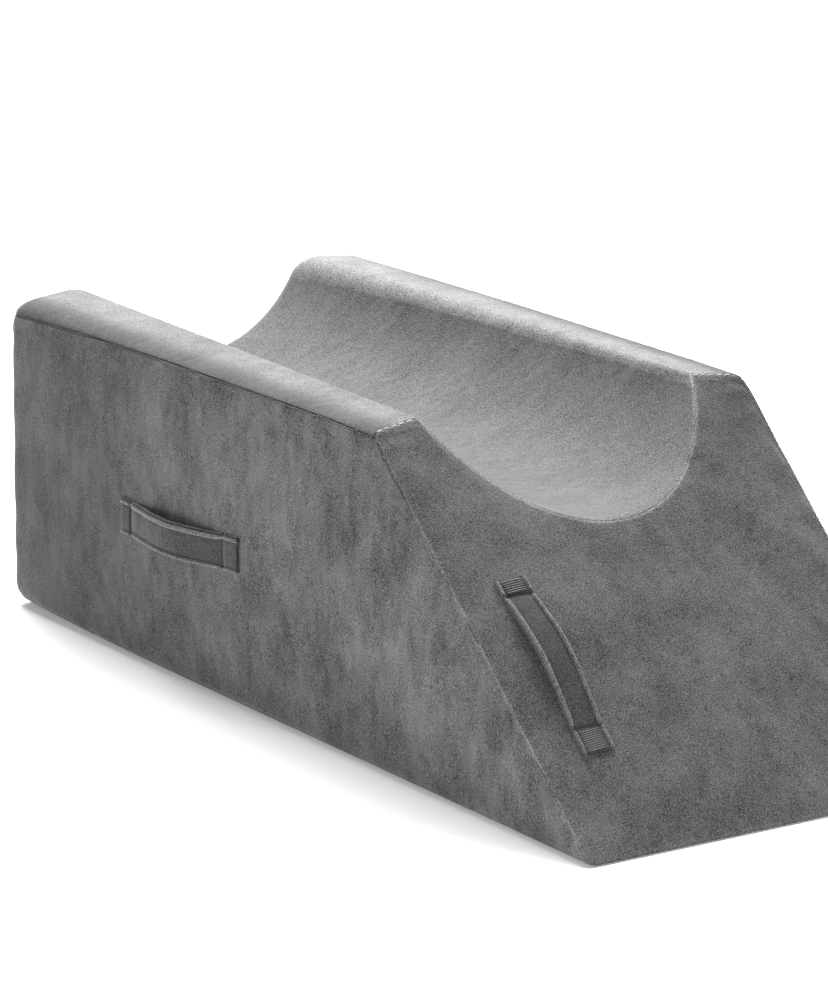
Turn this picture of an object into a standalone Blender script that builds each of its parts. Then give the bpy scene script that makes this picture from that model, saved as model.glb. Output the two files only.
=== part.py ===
"""Leg elevation pillow: a foam wedge in a sewn plush cover, with a round trough for the leg and two handles.

Metres, +Z up. X runs across, Y along the leg. The knee end, with its slanted face, looks along -Y and the
foot end along +Y. The origin is at the middle of the base. Run with: blender --background --python part.py
"""

import math

import bmesh
import bpy
from mathutils import Vector

# The foam wedge, seam to seam
LENGTH = 0.610
WIDTH = 0.254
HEIGHT = 0.195
TOP_LENGTH = 0.398

# The trough for the leg, which widens towards the knee: values at the back and at the front
WALL_TOP_WIDTH = (0.0495, 0.034)
TROUGH_DEPTH = (0.052, 0.057)

# How much lower a wall top's outer edge lies than its rim
WALL_TOP_FALL = (0.0020, 0.0040)

# Rounding of the edges that run along the pillow, at the back and at the front
OUTER_EDGE_RADIUS = (0.020, 0.012)
INNER_EDGE_RADIUS = (0.018, 0.006)
BASE_EDGE_RADIUS = (0.014, 0.006)
BASE_EDGE_EASE = 7

# Rounding of the end panels' borders
BACK_TOP_RADIUS = 0.0175
BACK_SIDE_RADIUS = 0.011
BACK_BASE_RADIUS = 0.013
FRONT_RADIUS = 0.004

# How far the filled panels swell past their seams
SIDE_CROWN = 0.0035
FRONT_CROWN = 0.0035
BACK_CROWN = 0.004
WALL_TOP_CROWN = 0.0012

# The handles: folded cover cloth with raised edges, and a flat tab sewn down at each end
HANDLE_GAP = 0.00035
HANDLE_STANDOFF = 0.0080
HANDLE_BOW = 2.4
SEWN_EDGE_ROUND = 0.0008
RIDGE_WIDTH = 0.0024
RIDGE_FOOT = 0.0036
LOOP_SECTION = {"width": 0.0195, "edge": 0.0040, "middle": 0.0026}
TAB_SECTION = {"width": 0.0215, "edge": 0.0030, "middle": 0.0024}

# Ends of each handle on its panel: (y, z) on the side, (x, distance down the slant) on the front
SIDE_HANDLE = {"from": (0.1595, 0.0892), "to": (0.0294, 0.0936), "tabs": (0.0125, 0.0155)}
SIDE_HANDLE_SAG = 0.0013
FRONT_HANDLE = {"from": (-0.0885, 0.1112), "to": (-0.0902, 0.2262), "tabs": (0.0120, 0.0155)}

# Mesh steps along each stretch of the half section, and from end to end
BASE_STEPS = 5
BASE_ARC_STEPS = 3
SIDE_STEPS = 6
HALF_ARC_STEPS = 2
WALL_TOP_STEPS = 2
TROUGH_STEPS = BASE_STEPS + BASE_ARC_STEPS + SIDE_STEPS
BORDER_STEPS = TROUGH_STEPS + HALF_ARC_STEPS
STRIP_STEPS = 2 * HALF_ARC_STEPS + WALL_TOP_STEPS
ROWS_ALONG = 14
BACK_ROUNDING_STEPS = 4
FRONT_ROUNDING_STEPS = 2
LOOP_STEPS = 18

HALF_WIDTH = WIDTH / 2
BACK_Y = LENGTH / 2
SLANT_RUN = LENGTH - TOP_LENGTH
SLANT_LENGTH = math.hypot(SLANT_RUN, HEIGHT)
ACROSS = Vector((1.0, 0.0, 0.0))
DOWN_THE_SLANT = Vector((0.0, -SLANT_RUN, -HEIGHT)) / SLANT_LENGTH
OUT_OF_THE_SLANT = Vector((0.0, -HEIGHT, SLANT_RUN)) / SLANT_LENGTH
OUT_OF_THE_SIDE = -ACROSS

COVER_COLOUR = (0.115, 0.115, 0.118, 1.0)
HANDLE_COLOUR = (0.120, 0.114, 0.110, 1.0)


def mix(first, second, share):
    return first + (second - first) * share


def hump(share):
    """0 at the ends of a stretch, 1 at its middle."""
    return math.sin(math.pi * min(max(share, 0.0), 1.0))


def slant_y(z):
    """Y of the slanted front plane at height z."""
    return SLANT_RUN * z / HEIGHT - BACK_Y


def trough_arc(t):
    """Half width at the wall tops, radius and centre height of the trough, t of the way to the front."""
    half_width = HALF_WIDTH - mix(*WALL_TOP_WIDTH, t)
    depth = mix(*TROUGH_DEPTH, t)
    radius = (half_width**2 + depth**2) / (2 * depth)
    return half_width, radius, HEIGHT - depth + radius


def arc(centre_x, centre_z, radius, start, end, steps):
    """Points of an arc with their normals, after its first. Angles turn from +X to +Z."""
    angles = [mix(start, end, step / steps) for step in range(1, steps + 1)]
    normals = [(math.cos(angle), math.sin(angle)) for angle in angles]
    return [(centre_x + radius * nx, centre_z + radius * nz, nx, nz) for nx, nz in normals]


def straight(start, end, normal, steps):
    """Points of a straight stretch with its normal, after its first."""
    shares = [step / steps for step in range(1, steps + 1)]
    return [(mix(start[0], end[0], share), mix(start[1], end[1], share), *normal) for share in shares]


def half_section(t):
    """(x, z, normal x, normal z) from the base, up the side, over the wall and down into the trough."""
    outer = mix(*OUTER_EDGE_RADIUS, t)
    inner = mix(*INNER_EDGE_RADIUS, t)
    base = mix(*BASE_EDGE_RADIUS, 1 - (1 - t) ** BASE_EDGE_EASE)
    edge_z = HEIGHT - mix(*WALL_TOP_FALL, t)
    _, trough, centre = trough_arc(t)
    rim_z = HEIGHT - inner
    rim_x = -math.sqrt((trough + inner) ** 2 - (centre - rim_z) ** 2)
    quarter = math.pi / 2
    rim_end = math.atan2(centre - rim_z, -rim_x)
    rim_middle = mix(quarter, rim_end, 0.5)

    points = [(0.0, 0.0, 0.0, -1.0)]
    points += straight((0.0, 0.0), (base - HALF_WIDTH, 0.0), (0.0, -1.0), BASE_STEPS)
    points += arc(base - HALF_WIDTH, base, base, -quarter, -2 * quarter, BASE_ARC_STEPS)
    points += straight((-HALF_WIDTH, base), (-HALF_WIDTH, edge_z - outer), (-1.0, 0.0), SIDE_STEPS)
    points += arc(outer - HALF_WIDTH, edge_z - outer, outer, 2 * quarter, 1.5 * quarter, HALF_ARC_STEPS)
    points += arc(outer - HALF_WIDTH, edge_z - outer, outer, 1.5 * quarter, quarter, HALF_ARC_STEPS)
    points += straight((outer - HALF_WIDTH, edge_z), (rim_x, HEIGHT), (0.0, 1.0), WALL_TOP_STEPS)
    points += arc(rim_x, rim_z, inner, quarter, rim_middle, HALF_ARC_STEPS)
    points += arc(rim_x, rim_z, inner, rim_middle, rim_end, HALF_ARC_STEPS)
    for step in range(1, TROUGH_STEPS + 1):
        angle = mix(rim_end, quarter, step / TROUGH_STEPS)
        nx, nz = math.cos(angle), math.sin(angle)
        points.append((-trough * nx, centre - trough * nz, nx, nz))
    return points


def section(t):
    """The whole closed section: its left half, then the mirror image back to the base."""
    half = half_section(t)
    return half + [(-x, z, -nx, nz) for x, z, nx, nz in half[-2:0:-1]]


def back_radius(nx, nz):
    """Rounding of the back panel's border where the section faces (nx, nz)."""
    return BACK_SIDE_RADIUS * nx**2 + (BACK_TOP_RADIUS if nz > 0 else BACK_BASE_RADIUS) * nz**2


def side_swell(t, z):
    """How far a side panel stands out past its seams."""
    return SIDE_CROWN * (1 - (2 * t - 1) ** 4) * hump(z / HEIGHT)


def end_swell(crown, x, z, t):
    """How far an end panel stands out past its seams, at x and height z."""
    half_width, radius, centre = trough_arc(t)
    top = HEIGHT if abs(x) >= half_width else centre - math.sqrt(radius**2 - x**2)
    return crown * (1 - min(abs(x) / HALF_WIDTH, 1.0) ** 4) * hump(z / top)


def crowned(x, z, nx, nz, t):
    """A point of the section moved out by the crown of its side panel or wall top."""
    side = side_swell(t, z) * max(math.copysign(nx, nx * x), 0.0)
    half_width = trough_arc(t)[0]
    wall_share = (abs(x) - half_width) / (HALF_WIDTH - half_width)
    wall = WALL_TOP_CROWN * hump(wall_share) * (1 if nz > 0.5 else 0)
    return x + math.copysign(side, x), z + wall


def back_rounding_rings():
    """Rings from the back panel's border to where the back edge's rounding ends."""
    rings = []
    for step in range(BACK_ROUNDING_STEPS):
        angle = math.pi / 2 * (1 - step / BACK_ROUNDING_STEPS)
        ring = []
        for x, z, nx, nz in section(0.0):
            radius = back_radius(nx, nz)
            inset = radius * (1 - math.cos(angle))
            depth = radius * (1 - math.sin(angle))
            ring.append(Vector((x - nx * inset, BACK_Y - depth, z - nz * inset)))
        rings.append(ring)
    return rings


def long_rings():
    """Rings from the back edge to the front edge, each tilted a little more towards the slant."""
    starts = [BACK_Y - back_radius(nx, nz) for _, _, nx, nz in section(0.0)]
    rings = []
    for row in range(ROWS_ALONG + 1):
        t = row / ROWS_ALONG
        ring = []
        for start, (x, z, nx, nz) in zip(starts, section(t)):
            y = mix(start, slant_y(z) + FRONT_RADIUS, t)
            along = hump(t) ** 0.5
            full_x, full_z = crowned(x, z, nx, nz, t)
            ring.append(Vector((mix(x, full_x, along), y, mix(z, full_z, along))))
        rings.append(ring)
    return rings


def front_rounding_rings():
    """Rings round the front edge on to the slanted panel's border."""
    rings = []
    for step in range(1, FRONT_ROUNDING_STEPS + 1):
        angle = math.pi / 2 * step / FRONT_ROUNDING_STEPS
        inset = FRONT_RADIUS * (1 - math.cos(angle))
        depth = FRONT_RADIUS * (1 - math.sin(angle))
        ring = []
        for x, z, nx, nz in section(1.0):
            inset_z = z - nz * inset
            ring.append(Vector((x - nx * inset, slant_y(inset_z) + depth, inset_z)))
        rings.append(ring)
    return rings


def end_grid(mesh, ring, swollen):
    """Fills an end panel with a grid that spans from its outer border to the trough's border."""
    middle = len(ring) // 2

    def border(column, row):
        """The ring's vertex at a grid place on the panel's border, or None inside it."""
        if row == 0:
            return ring[-column]
        if row == STRIP_STEPS:
            return ring[middle + column]
        if abs(column) == BORDER_STEPS:
            return ring[BORDER_STEPS + row] if column < 0 else ring[-BORDER_STEPS - row]
        return None

    def inside(column, row):
        """A Coons patch between the four borders, then the panel's crown."""
        across = (column + BORDER_STEPS) / (2 * BORDER_STEPS)
        up = row / STRIP_STEPS
        ends = (-BORDER_STEPS, BORDER_STEPS)
        point = mix(border(column, 0).co, border(column, STRIP_STEPS).co, up)
        point += mix(*(border(end, row).co for end in ends), across)
        low = mix(*(border(end, 0).co for end in ends), across)
        high = mix(*(border(end, STRIP_STEPS).co for end in ends), across)
        return mesh.verts.new(swollen(point - mix(low, high, up)))

    columns = range(-BORDER_STEPS, BORDER_STEPS + 1)
    rows = range(STRIP_STEPS + 1)
    grid = [[border(column, row) or inside(column, row) for row in rows] for column in columns]
    for left, right in zip(grid, grid[1:]):
        for row in range(STRIP_STEPS):
            mesh.faces.new((left[row], right[row], right[row + 1], left[row + 1]))


def swollen_back(point):
    return point + Vector((0.0, end_swell(BACK_CROWN, point.x, point.z, 0.0), 0.0))


def swollen_front(point):
    return point + OUT_OF_THE_SLANT * end_swell(FRONT_CROWN, point.x, point.z, 1.0)


def loft(mesh, rings):
    """Skins closed rings of points with quads, and returns the rings of vertices."""
    skins = [[mesh.verts.new(point) for point in ring] for ring in rings]
    for ring, following in zip(skins, skins[1:]):
        for index in range(len(ring)):
            mesh.faces.new((ring[index - 1], ring[index], following[index], following[index - 1]))
    return skins


def add_object(name, mesh, collection, material, sharp_angle):
    """Turns a bmesh into a named, smooth shaded object with its material."""
    bmesh.ops.recalc_face_normals(mesh, faces=mesh.faces)
    data = bpy.data.meshes.new(name)
    mesh.to_mesh(data)
    mesh.free()
    data.materials.append(material)
    data.shade_smooth()
    data.set_sharp_from_angle(angle=math.radians(sharp_angle))
    collection.objects.link(bpy.data.objects.new(name, data))


def make_pillow(collection, material):
    """The filled wedge in its cover, one closed body."""
    mesh = bmesh.new()
    skins = loft(mesh, back_rounding_rings() + long_rings() + front_rounding_rings())
    end_grid(mesh, skins[0], swollen_back)
    end_grid(mesh, skins[-1], swollen_front)
    add_object("pillow", mesh, collection, material, sharp_angle=40)


def strap_section(width, edge, middle):
    """(across, up) round a strap with a flat back and a raised ridge along each edge."""
    half = width / 2
    right = [
        (half - SEWN_EDGE_ROUND, 0.0),
        (half, 0.3 * edge),
        (half, 0.75 * edge),
        (half - SEWN_EDGE_ROUND, edge),
        (half - RIDGE_WIDTH, edge),
        (half - RIDGE_FOOT, middle),
    ]
    return right + [(-across, up) for across, up in reversed(right)]


def strap_stations(length, tabs):
    """(distance along, stand-off, section) from one end of a handle to the other."""
    first, last = tabs
    loop = length - first - last
    stations = [(0.0, 0.0, TAB_SECTION), (first, 0.0, TAB_SECTION)]
    for step in range(1, LOOP_STEPS):
        share = step / LOOP_STEPS
        lift = HANDLE_STANDOFF * (1 - abs(2 * share - 1) ** HANDLE_BOW)
        stations.append((first + loop * share, lift, LOOP_SECTION))
    return stations + [(length - last, 0.0, TAB_SECTION), (length, 0.0, TAB_SECTION)]


def make_handle(name, collection, material, handle, on_face, outward):
    """A strap over a panel. on_face gives the panel's point at a share of the way, and so far to one side."""
    length = math.dist(handle["from"], handle["to"])
    stations = strap_stations(length, handle["tabs"])
    half = TAB_SECTION["width"] / 2
    edges = [(on_face(along / length, -half), on_face(along / length, half)) for along, _, _ in stations]
    path = [mix(*pair, 0.5) + outward * (HANDLE_GAP + lift) for pair, (_, lift, _) in zip(edges, stations)]
    rings = []
    for index, (point, (left, right), (_, lift, sizes)) in enumerate(zip(path, edges, stations)):
        travel = path[min(index + 1, len(path) - 1)] - path[max(index - 1, 0)]
        sideways = (right - left).normalized()
        up = sideways.cross(travel) if lift else outward - sideways * outward.dot(sideways)
        up.normalize()
        rings.append([point + sideways * across + up * height for across, height in strap_section(**sizes)])
    mesh = bmesh.new()
    skins = loft(mesh, rings)
    mesh.faces.new(skins[0])
    mesh.faces.new(skins[-1])
    add_object(name, mesh, collection, material, sharp_angle=35)


def handle_place(handle, share):
    return [mix(first, last, share) for first, last in zip(handle["from"], handle["to"])]


def on_side_panel(share, across):
    """The near side panel's point under the side handle."""
    y, z = handle_place(SIDE_HANDLE, share)
    z -= across + SIDE_HANDLE_SAG * hump(share)
    start = BACK_Y - BACK_SIDE_RADIUS
    t = (start - y) / (start - slant_y(z) - FRONT_RADIUS)
    return Vector((-HALF_WIDTH - side_swell(t, z), y, z))


def on_front_panel(share, across):
    """The slanted panel's point under the front handle."""
    x, down = handle_place(FRONT_HANDLE, share)
    return swollen_front(Vector((x - across, slant_y(HEIGHT), HEIGHT)) + DOWN_THE_SLANT * down)


def plush(name, colour):
    """Short velvet pile: matt, with a soft sheen."""
    material = bpy.data.materials.new(name)
    material.use_nodes = True
    shader = material.node_tree.nodes["Principled BSDF"]
    shader.inputs["Base Color"].default_value = colour
    shader.inputs["Roughness"].default_value = 0.95
    shader.inputs["Metallic"].default_value = 0.0
    shader.inputs["Sheen Weight"].default_value = 0.3
    material.diffuse_color = colour
    return material


def main():
    for old in list(bpy.data.objects):
        bpy.data.objects.remove(old)
    collection = bpy.data.collections.new("leg_elevation_pillow")
    bpy.context.scene.collection.children.link(collection)
    handle_cloth = plush("handle_cloth", HANDLE_COLOUR)

    make_pillow(collection, plush("cover_cloth", COVER_COLOUR))
    make_handle("side_handle", collection, handle_cloth, SIDE_HANDLE, on_side_panel, OUT_OF_THE_SIDE)
    make_handle("front_handle", collection, handle_cloth, FRONT_HANDLE, on_front_panel, OUT_OF_THE_SLANT)


main()
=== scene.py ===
"""Looks of the leg elevation pillow: a foam wedge in a velvet cover, with two sewn-on handles."""

import math

import bmesh
import bpy
from mathutils import Matrix, Vector, noise
from mathutils.bvhtree import BVHTree
from mathutils.kdtree import KDTree


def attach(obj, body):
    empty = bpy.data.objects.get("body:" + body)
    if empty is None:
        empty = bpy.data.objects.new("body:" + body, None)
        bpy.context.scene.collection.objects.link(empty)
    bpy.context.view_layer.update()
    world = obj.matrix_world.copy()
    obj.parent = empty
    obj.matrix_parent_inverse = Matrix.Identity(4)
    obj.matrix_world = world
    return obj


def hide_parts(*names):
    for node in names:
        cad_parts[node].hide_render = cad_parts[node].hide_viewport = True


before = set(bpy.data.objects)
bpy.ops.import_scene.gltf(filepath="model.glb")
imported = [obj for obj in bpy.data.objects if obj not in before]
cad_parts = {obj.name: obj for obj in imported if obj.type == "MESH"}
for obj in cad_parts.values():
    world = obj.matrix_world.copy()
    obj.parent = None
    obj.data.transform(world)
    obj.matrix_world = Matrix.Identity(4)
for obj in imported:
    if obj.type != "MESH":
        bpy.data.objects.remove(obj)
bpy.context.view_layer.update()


# Floor: one wide, plain, pale sheet under the pillow. It glows a little, so that it washes out to white
# past the soft shadow.
FLOOR_SIZE = 14.0
FLOOR_COLOUR = (0.90, 0.90, 0.90, 1.0)
FLOOR_GLOW = 0.20

pale_floor = bpy.data.materials.new("pale_floor")
pale_floor.use_nodes = True
floor_shader = pale_floor.node_tree.nodes["Principled BSDF"]
floor_shader.inputs["Base Color"].default_value = FLOOR_COLOUR
floor_shader.inputs["Roughness"].default_value = 0.9
floor_shader.inputs["Emission Color"].default_value = (1.0, 1.0, 1.0, 1.0)
floor_shader.inputs["Emission Strength"].default_value = FLOOR_GLOW
bpy.ops.mesh.primitive_plane_add(size=FLOOR_SIZE)
floor = bpy.context.object
floor.name = "floor"
floor.data.materials.append(pale_floor)


# Light: a large soft panel high up behind the far wall, a small weak one low at the left front, and an even
# white surround that fills the rest.
OVERHEAD_POWER = 150.0
OVERHEAD_SIZE = 1.7
OVERHEAD_PLACE = Vector((0.55, 1.02, 1.76))
FILL_POWER = 5.3
FILL_SIZE = 0.5
FILL_PLACE = Vector((-0.95, -1.00, 0.50))
SURROUND = 0.20


def add_panel(name, power, size, place):
    """A square light panel that faces the pillow."""
    light = bpy.data.lights.new(name, "AREA")
    light.energy = power
    light.size = size
    panel = bpy.data.objects.new(name, light)
    panel.location = place
    panel.rotation_euler = place.to_track_quat("Z", "Y").to_euler()
    bpy.context.collection.objects.link(panel)


add_panel("overhead", OVERHEAD_POWER, OVERHEAD_SIZE, OVERHEAD_PLACE)
add_panel("fill", FILL_POWER, FILL_SIZE, FILL_PLACE)
surround = bpy.data.worlds.new("surround")
surround.use_nodes = True
surround.node_tree.nodes["Background"].inputs["Strength"].default_value = SURROUND
surround.node_tree.nodes["Background"].inputs["Color"].default_value = (1.0, 1.0, 1.0, 1.0)
bpy.context.scene.world = surround
bpy.context.scene.view_settings.view_transform = "Standard"


# Camera: a long lens, to the left of the slanted end and a little above the pillow. It sees the side panel,
# the slanted panel and both handles.
CAMERA_PLACE = (-1.6826, -2.4584, 0.9016)
CAMERA_TURN = -33.8548
CAMERA_DIP = 14.7146
CAMERA_ROLL = 0.2044
CAMERA_LENS = 196.4585

lens = bpy.data.cameras.new("camera")
lens.lens = CAMERA_LENS
lens.sensor_width = 36.0
lens.clip_end = 50.0
camera = bpy.data.objects.new("camera", lens)
camera.matrix_world = (
    Matrix.Translation(CAMERA_PLACE)
    @ Matrix.Rotation(math.radians(CAMERA_TURN), 4, "Z")
    @ Matrix.Rotation(math.radians(90 - CAMERA_DIP), 4, "X")
    @ Matrix.Rotation(math.radians(CAMERA_ROLL), 4, "Z")
)
bpy.context.collection.objects.link(camera)
bpy.context.scene.camera = camera


# Pillow: one foam wedge in a sewn cover of short grey velvet, pulled tight over the foam. The side panels,
# the top strip with the channel, the two end panels and the base meet in plain sewn seams along its edges.
# Pairs of sizes are at the back and at the front.
LENGTH = 0.610
WIDTH = 0.254
HEIGHT = 0.195
TOP_LENGTH = 0.398
WALL_TOP_WIDTH = (0.0495, 0.034)
TROUGH_DEPTH = (0.052, 0.057)
INNER_EDGE_RADIUS = (0.018, 0.0032)
BASE_EDGE_RADIUS = (0.014, 0.006)
BASE_EDGE_EASE = 7
BACK_TOP_RADIUS = 0.0175
BACK_SIDE_RADIUS = 0.011
BACK_BASE_RADIUS = 0.013
FRONT_RADIUS = 0.0024
SIDE_CROWN = 0.0035
FRONT_CROWN = 0.0035
BACK_CROWN = 0.004
WALL_TOP_CROWN = 0.0008

# The top strip rolls over the wall's outer edge and tucks down into its seam with the side panel.
# SEAM_PLACE has (share of the way to the front, in from the side panel, under the rim).
WALL_TOP_FALL = 0.0020
OUTER_EDGE_WIDTH = (0.020, 0.012)
ROLL_POWER = 1.85
SEAM_PLACE = (
    (0.00, 0.0020, 0.0130),
    (0.20, 0.0012, 0.0092),
    (0.45, 0.0008, 0.0066),
    (0.70, 0.0008, 0.0057),
    (0.90, 0.0008, 0.0049),
    (1.00, 0.0006, 0.0062),
)
LEAN_LENGTH = 0.012

BASE_STEPS = 16
BASE_ARC_STEPS = 4
SIDE_STEPS = 21
LEAN_STEPS = 4
ROLL_STEPS = 6
WALL_TOP_STEPS = 3
RIM_STEPS = 2
TROUGH_STEPS = BASE_STEPS + BASE_ARC_STEPS + SIDE_STEPS + LEAN_STEPS - RIM_STEPS
SEAM_STEP = TROUGH_STEPS + RIM_STEPS
STRIP_STEPS = ROLL_STEPS + WALL_TOP_STEPS + RIM_STEPS
BASE_SEAM_STEP = BASE_STEPS + BASE_ARC_STEPS // 2
ROWS_ALONG = 76
BACK_ROUNDING_STEPS = 5
FRONT_ROUNDING_STEPS = 2

HALF_WIDTH = WIDTH / 2
BACK_Y = LENGTH / 2
SLANT_RUN = LENGTH - TOP_LENGTH
SLANT_LENGTH = math.hypot(SLANT_RUN, HEIGHT)
DOWN_THE_SLANT = Vector((0.0, -SLANT_RUN, -HEIGHT)) / SLANT_LENGTH
OUT_OF_THE_SLANT = Vector((0.0, -HEIGHT, SLANT_RUN)) / SLANT_LENGTH


def mix(first, second, share):
    return first + (second - first) * share


def hump(share):
    """0 at the ends of a stretch, 1 at its middle."""
    return math.sin(math.pi * min(max(share, 0.0), 1.0))


def slant_y(z):
    """Y of the slanted front plane at height z."""
    return SLANT_RUN * z / HEIGHT - BACK_Y


def trough_arc(t):
    """Half width at the wall tops, radius and centre height of the trough, t of the way to the front."""
    half_width = HALF_WIDTH - mix(*WALL_TOP_WIDTH, t)
    depth = mix(*TROUGH_DEPTH, t)
    radius = (half_width**2 + depth**2) / (2 * depth)
    return half_width, radius, HEIGHT - depth + radius


def arc(centre_x, centre_z, radius, start, end, steps):
    """Points of an arc with their normals, after its first. Angles turn from +X to +Z."""
    angles = [mix(start, end, step / steps) for step in range(1, steps + 1)]
    normals = [(math.cos(angle), math.sin(angle)) for angle in angles]
    return [(centre_x + radius * nx, centre_z + radius * nz, nx, nz) for nx, nz in normals]


def straight(start, end, normal, steps):
    """Points of a straight stretch with its normal, after its first."""
    shares = [step / steps for step in range(1, steps + 1)]
    return [(mix(start[0], end[0], share), mix(start[1], end[1], share), *normal) for share in shares]


def seam_place(t):
    """How far the top strip's seam lies in from the side panel and under the rim, t of the way forward."""
    for start, end in zip(SEAM_PLACE, SEAM_PLACE[1:]):
        if t <= end[0]:
            share = (t - start[0]) / (end[0] - start[0])
            return mix(start[1], end[1], share), mix(start[2], end[2], share)
    return SEAM_PLACE[-1][1:]


def half_section(t):
    """(x, z, normal x, normal z) from the base, up the side, over the wall and down into the trough."""
    inner = mix(*INNER_EDGE_RADIUS, t)
    base = mix(*BASE_EDGE_RADIUS, 1 - (1 - t) ** BASE_EDGE_EASE)
    _, trough, centre = trough_arc(t)
    rim_z = HEIGHT - inner
    rim_x = -math.sqrt((trough + inner) ** 2 - (centre - rim_z) ** 2)
    quarter = math.pi / 2
    inset, drop = seam_place(t)
    seam_x = inset - HALF_WIDTH
    seam_z = HEIGHT - drop
    roll_x = mix(*OUTER_EDGE_WIDTH, t) - HALF_WIDTH
    roll_z = HEIGHT - WALL_TOP_FALL
    rim_end = math.atan2(centre - rim_z, -rim_x)
    rim_middle = mix(quarter, rim_end, 0.5)

    points = [(0.0, 0.0, 0.0, -1.0)]
    points += straight((0.0, 0.0), (base - HALF_WIDTH, 0.0), (0.0, -1.0), BASE_STEPS)
    points += arc(base - HALF_WIDTH, base, base, -quarter, -2 * quarter, BASE_ARC_STEPS)
    points += straight((-HALF_WIDTH, base), (-HALF_WIDTH, seam_z - LEAN_LENGTH), (-1.0, 0.0), SIDE_STEPS)
    for step in range(1, LEAN_STEPS + 1):
        share = step / LEAN_STEPS
        x = mix(-HALF_WIDTH, seam_x, share**2)
        points.append((x, seam_z - LEAN_LENGTH * (1 - share), -1.0, 0.0))
    for step in range(1, ROLL_STEPS + 1):
        angle = quarter * step / ROLL_STEPS
        x = mix(roll_x, seam_x, math.cos(angle) ** (2 / ROLL_POWER))
        z = mix(seam_z, roll_z, math.sin(angle) ** (2 / ROLL_POWER))
        points.append((x, z, -math.cos(angle), math.sin(angle)))
    points += straight((roll_x, roll_z), (rim_x, HEIGHT), (0.0, 1.0), WALL_TOP_STEPS)
    points += arc(rim_x, rim_z, inner, quarter, rim_middle, RIM_STEPS)
    points += arc(rim_x, rim_z, inner, rim_middle, rim_end, RIM_STEPS)
    for step in range(1, TROUGH_STEPS + 1):
        angle = mix(rim_end, quarter, step / TROUGH_STEPS)
        nx, nz = math.cos(angle), math.sin(angle)
        points.append((-trough * nx, centre - trough * nz, nx, nz))
    return points


def section(t):
    """The whole closed section: its left half, then the mirror image back to the base."""
    half = half_section(t)
    return half + [(-x, z, -nx, nz) for x, z, nx, nz in half[-2:0:-1]]


def back_radius(nx, nz):
    """Rounding of the back panel's border where the section faces (nx, nz)."""
    return BACK_SIDE_RADIUS * nx**2 + (BACK_TOP_RADIUS if nz > 0 else BACK_BASE_RADIUS) * nz**2


def side_swell(t, z):
    """How far a side panel stands out past its seams."""
    return SIDE_CROWN * (1 - (2 * t - 1) ** 4) * hump(z / HEIGHT)


def end_swell(crown, x, z, t):
    """How far an end panel stands out past its seams, at x and height z."""
    half_width, radius, centre = trough_arc(t)
    top = HEIGHT if abs(x) >= half_width else centre - math.sqrt(radius**2 - x**2)
    return crown * (1 - min(abs(x) / HALF_WIDTH, 1.0) ** 4) * hump(z / top)


def crowned(x, z, nx, nz, t):
    """A point of the section moved out by the crown of its side panel or wall top."""
    side = side_swell(t, z) * max(math.copysign(nx, nx * x), 0.0)
    half_width = trough_arc(t)[0]
    wall_share = (abs(x) - half_width) / (HALF_WIDTH - half_width)
    wall = WALL_TOP_CROWN * hump(wall_share) * (1 if nz > 0.5 else 0)
    return x + math.copysign(side, x), z + wall


def pillow_rings():
    """Closed rings of points from the back panel's border to the slanted panel's border."""
    back_section, front_section = section(0.0), section(1.0)
    starts = [BACK_Y - back_radius(nx, nz) for _, _, nx, nz in back_section]
    rings = []
    for step in range(BACK_ROUNDING_STEPS):
        angle = math.pi / 2 * (1 - step / BACK_ROUNDING_STEPS)
        ring = []
        for x, z, nx, nz in back_section:
            radius = back_radius(nx, nz)
            inset = radius * (1 - math.cos(angle))
            depth = radius * (1 - math.sin(angle))
            ring.append(Vector((x - nx * inset, BACK_Y - depth, z - nz * inset)))
        rings.append(ring)
    for row in range(ROWS_ALONG + 1):
        t = row / ROWS_ALONG
        along = hump(t) ** 0.5
        ring = []
        for start, (x, z, nx, nz) in zip(starts, section(t)):
            full_x, full_z = crowned(x, z, nx, nz, t)
            y = mix(start, slant_y(z) + FRONT_RADIUS, t)
            ring.append(Vector((mix(x, full_x, along), y, mix(z, full_z, along))))
        rings.append(ring)
    for step in range(1, FRONT_ROUNDING_STEPS + 1):
        angle = math.pi / 2 * step / FRONT_ROUNDING_STEPS
        inset = FRONT_RADIUS * (1 - math.cos(angle))
        depth = FRONT_RADIUS * (1 - math.sin(angle))
        ring = []
        for x, z, nx, nz in front_section:
            inset_z = z - nz * inset
            ring.append(Vector((x - nx * inset, slant_y(inset_z) + depth, inset_z)))
        rings.append(ring)
    return rings


def end_grid(mesh, ring, swollen):
    """Fills an end panel with a grid that spans from its outer border to the trough's border."""
    middle = len(ring) // 2

    def border(column, row):
        if row == 0:
            return ring[-column]
        if row == STRIP_STEPS:
            return ring[middle + column]
        if abs(column) == SEAM_STEP:
            return ring[SEAM_STEP + row] if column < 0 else ring[-SEAM_STEP - row]
        return None

    def inside(column, row):
        across = (column + SEAM_STEP) / (2 * SEAM_STEP)
        up = row / STRIP_STEPS
        ends = (-SEAM_STEP, SEAM_STEP)
        point = mix(border(column, 0).co, border(column, STRIP_STEPS).co, up)
        point += mix(*(border(end, row).co for end in ends), across)
        low = mix(*(border(end, 0).co for end in ends), across)
        high = mix(*(border(end, STRIP_STEPS).co for end in ends), across)
        return mesh.verts.new(swollen(point - mix(low, high, up)))

    columns = range(-SEAM_STEP, SEAM_STEP + 1)
    rows = range(STRIP_STEPS + 1)
    grid = [[border(column, row) or inside(column, row) for row in rows] for column in columns]
    for left, right in zip(grid, grid[1:]):
        for row in range(STRIP_STEPS):
            mesh.faces.new((left[row], right[row], right[row + 1], left[row + 1]))


def swollen_back(point):
    return point + Vector((0.0, end_swell(BACK_CROWN, point.x, point.z, 0.0), 0.0))


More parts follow.
